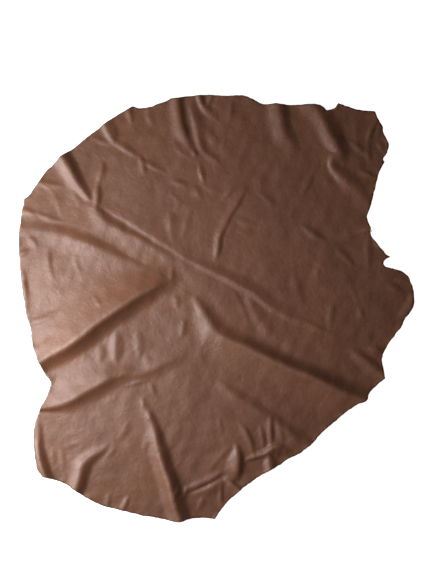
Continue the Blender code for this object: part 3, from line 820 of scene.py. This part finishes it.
def marks_of(nodes, wanted):
    """The lines of one kind on the hide, as one mask; the dark kind is painted shade."""
    mask = 0.0
    for kind, half_width, points in MARKS:
        if kind != wanted:
            continue
        for start, end in zip(points, points[1:]):
            mark = placed(nodes, GROUPS["mark"], {
                "From": (start[0] * MM, start[1] * MM, 0.0), "To": (end[0] * MM, end[1] * MM, 0.0),
                "Half width": half_width * MM})
            mask = maths(nodes, "MAXIMUM", mark.outputs["Mask"], mask)
    return mask


def placed(nodes, tree, inputs):
    """A node group set down in a material."""
    node = nodes.add("ShaderNodeGroup", node_tree=tree)
    for name, value in inputs.items():
        nodes.put(value, node.inputs[name])
    return node


def grain_side():
    """The dyed side: cloudy brown, pebbled and glossy, with painted shade between its grain cells and
    along thin dark lines, and paler where it stands out.
    """
    material, nodes, shader = start_material("brown leather grain side")
    broad = placed(nodes, GROUPS["mottling"], {"Patches per metre": BROAD_PATCHES}).outputs["Mask"]
    close = placed(nodes, GROUPS["mottling"], {"Patches per metre": CLOSE_PATCHES}).outputs["Mask"]
    grain = placed(nodes, GROUPS["grain"], {"Cells per metre": GRAIN_CELLS})
    relief = nodes.add("ShaderNodeAttribute", attribute_name="relief").outputs["Fac"]
    inward = nodes.add("ShaderNodeAttribute", attribute_name="inward").outputs["Fac"]
    tone = mixed(nodes, (broad, close), PATCH_SHARES)
    colour = blend(nodes, tone, DARK_DYE, LIGHT_DYE)
    # painted shade: the dye darkened in the creases between the grain cells
    crevice_shade = maths(nodes, "MULTIPLY", grain.outputs["Crevice"], GRAIN_CREVICE_SHADE)
    colour = blend(nodes, crevice_shade, colour, PAINTED_SHADE_BROWN)
    # paler where the surface stands out above its surroundings, on the crests of folds and creases
    paler_crests = maths(nodes, "MULTIPLY", ramp(nodes, relief, *CREST_PALING_RELIEF), CREST_PALING_SHARE)
    rubbed_rim = maths(nodes, "MULTIPLY", ramp(nodes, inward, RIM_RUBBED_REACH, 0.0), RIM_RUBBED_SHARE)
    colour = blend(nodes, maths(nodes, "ADD", paler_crests, rubbed_rim, clamp=True), colour, PALE_BROWN)
    pale = maths(nodes, "MULTIPLY", marks_of(nodes, "pale"), PALE_MARK_SHARE)
    # the dark lines are painted shade along thin creases and at the feet of folds
    dark = maths(nodes, "MULTIPLY", marks_of(nodes, "dark"), DARK_LINE_SHADE_SHARE)
    colour = blend(nodes, pale, colour, PALE_BROWN)
    colour = blend(nodes, dark, colour, PAINTED_SHADE_BROWN)
    nodes.put(colour, shader.inputs["Base Color"])
    nodes.put(ramp(nodes, tone, 0.0, 1.0, *GLOSS_ROUGHNESS), shader.inputs["Roughness"])
    shader.inputs["Specular IOR Level"].default_value = GLOSS_LEVEL
    place = nodes.add("ShaderNodeTexCoord").outputs["Object"]
    wrinkles = noise(nodes, place, WRINKLE_SIZE, 4.0, 0.55, 0.6)
    fine = nodes.add("ShaderNodeBump", {
        "Height": grain.outputs["Height"], "Distance": GRAIN_DEPTH, "Strength": 1.0})
    soft = nodes.add("ShaderNodeBump", {
        "Height": wrinkles, "Distance": WRINKLE_DEPTH, "Strength": 0.8, "Normal": fine.outputs["Normal"]})
    nodes.put(soft.outputs["Normal"], shader.inputs["Normal"])
    return material


def flesh_side():
    """The underside: pale brown suede with its nap along Y, and painted shade between the nap's fibres.
    """
    material, nodes, shader = start_material("brown leather flesh side")
    patches = placed(nodes, GROUPS["mottling"], {"Patches per metre": SUEDE_PATCHES}).outputs["Mask"]
    place = nodes.add("ShaderNodeTexCoord").outputs["Object"]
    stretched = nodes.add("ShaderNodeMapping", {"Vector": place, "Scale": NAP_STRETCH})
    nap = noise(nodes, stretched.outputs["Vector"], NAP_FIBRES, 4.0, 0.7)
    colour = blend(nodes, patches, SUEDE_DARK, SUEDE_LIGHT)
    # painted shade: darker in the hollows between the nap's fibres
    between = maths(nodes, "MULTIPLY", ramp(nodes, nap, *NAP_EDGES), NAP_SHADE_SHARE)
    colour = blend(nodes, between, colour, SUEDE_DARK)
    nodes.put(colour, shader.inputs["Base Color"])
    shader.inputs["Roughness"].default_value = SUEDE_ROUGHNESS
    shader.inputs["Specular IOR Level"].default_value = SUEDE_GLOSS_LEVEL
    shader.inputs["Sheen Weight"].default_value = SUEDE_SHEEN
    shader.inputs["Sheen Roughness"].default_value = SUEDE_SHEEN_ROUGHNESS
    bump = nodes.add("ShaderNodeBump", {"Height": nap, "Distance": NAP_DEPTH, "Strength": 0.9})
    nodes.put(bump.outputs["Normal"], shader.inputs["Normal"])
    return material


def cut_edge():
    """The raw edge where the skin was cut, and the fibres that came loose from it."""
    material, nodes, shader = start_material("raw cut leather edge")
    patches = placed(nodes, GROUPS["mottling"], {"Patches per metre": EDGE_PATCHES}).outputs["Mask"]
    fibres = placed(nodes, GROUPS["grain"], {"Cells per metre": EDGE_FIBRES})
    nodes.put(blend(nodes, patches, EDGE_COLOUR, SUEDE_LIGHT), shader.inputs["Base Color"])
    shader.inputs["Roughness"].default_value = EDGE_ROUGHNESS
    bump = nodes.add("ShaderNodeBump", {
        "Height": fibres.outputs["Height"], "Distance": EDGE_DEPTH, "Strength": 1.0})
    nodes.put(bump.outputs["Normal"], shader.inputs["Normal"])
    return material


def floor_material():
    """A floor that is pure white to the camera and sends a little light back up to the hide."""
    material, nodes, shader = start_material("white floor")
    shader.inputs["Base Color"].default_value = FLOOR_COLOUR
    shader.inputs["Roughness"].default_value = FLOOR_ROUGHNESS
    seen = nodes.add("ShaderNodeLightPath").outputs["Is Camera Ray"]
    shader.inputs["Emission Color"].default_value = WHITE
    nodes.put(maths(nodes, "MULTIPLY", seen, FLOOR_GLOW), shader.inputs["Emission Strength"])
    return material


def make_floor():
    """The wide floor that the hide lies on, which is no part of it."""
    plate = bmesh.new()
    bmesh.ops.create_grid(plate, x_segments=1, y_segments=1, size=FLOOR_SIZE / 2)
    floor = piece_of(plate, "floor", (floor_material(),))
    floor.location.z = -FLOOR_GAP


def aim(thing, place, target):
    """Sets a lamp down at its place, turned to face its target."""
    thing.location = place
    thing.rotation_euler = (Vector(target) - Vector(place)).to_track_quat("-Z", "Y").to_euler()
    bpy.context.scene.collection.objects.link(thing)


def make_lights():
    """The soft lamps, each aimed at the middle of the hide."""
    for name, heading, rise, distance, width, tall, power in LIGHTS:
        level = distance * math.cos(math.radians(rise))
        place = (level * math.cos(math.radians(heading)), level * math.sin(math.radians(heading)),
                 distance * math.sin(math.radians(rise)))
        light = bpy.data.lights.new(name, "AREA")
        light.shape = "ELLIPSE"
        light.size = width
        light.size_y = tall
        light.energy = power
        lamp = bpy.data.objects.new(name, light)
        lamp.visible_camera = False
        aim(lamp, place, (0.0, 0.0, 0.0))


def make_world():
    """A faint warm surround, which the camera sees as white."""
    world = bpy.data.worlds.new("soft surround")
    world.use_nodes = True
    background = world.node_tree.nodes["Background"]
    nodes = Nodes(world.node_tree)
    seen = nodes.add("ShaderNodeLightPath").outputs["Is Camera Ray"]
    nodes.put(blend(nodes, seen, WORLD_COLOUR, WHITE), background.inputs["Color"])
    strength = nodes.add("ShaderNodeMapRange", {
        "Value": seen, "To Min": WORLD_STRENGTH, "To Max": FLOOR_GLOW}).outputs["Result"]
    nodes.put(strength, background.inputs["Strength"])
    bpy.context.scene.world = world


def make_camera():
    """A camera straight above the hide."""
    lens = bpy.data.cameras.new("overhead camera")
    lens.sensor_width = SENSOR
    lens.lens = SENSOR * CAMERA_PLACE[2] / VIEW_LENGTH
    camera = bpy.data.objects.new("overhead camera", lens)
    camera.location = CAMERA_PLACE
    bpy.context.scene.collection.objects.link(camera)
    bpy.context.scene.camera = camera
    bpy.context.scene.view_settings.view_transform = "Standard"


GROUPS = {"mottling": mottling_group(), "grain": pebble_group(), "mark": mark_group()}

make_camera()
make_lights()
make_world()
make_floor()
raw_edge = cut_edge()
hide = make_hide(raw_edge)
fibres = make_fibres(raw_edge)
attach(hide, "root")
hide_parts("hide")
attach(fibres, "root")
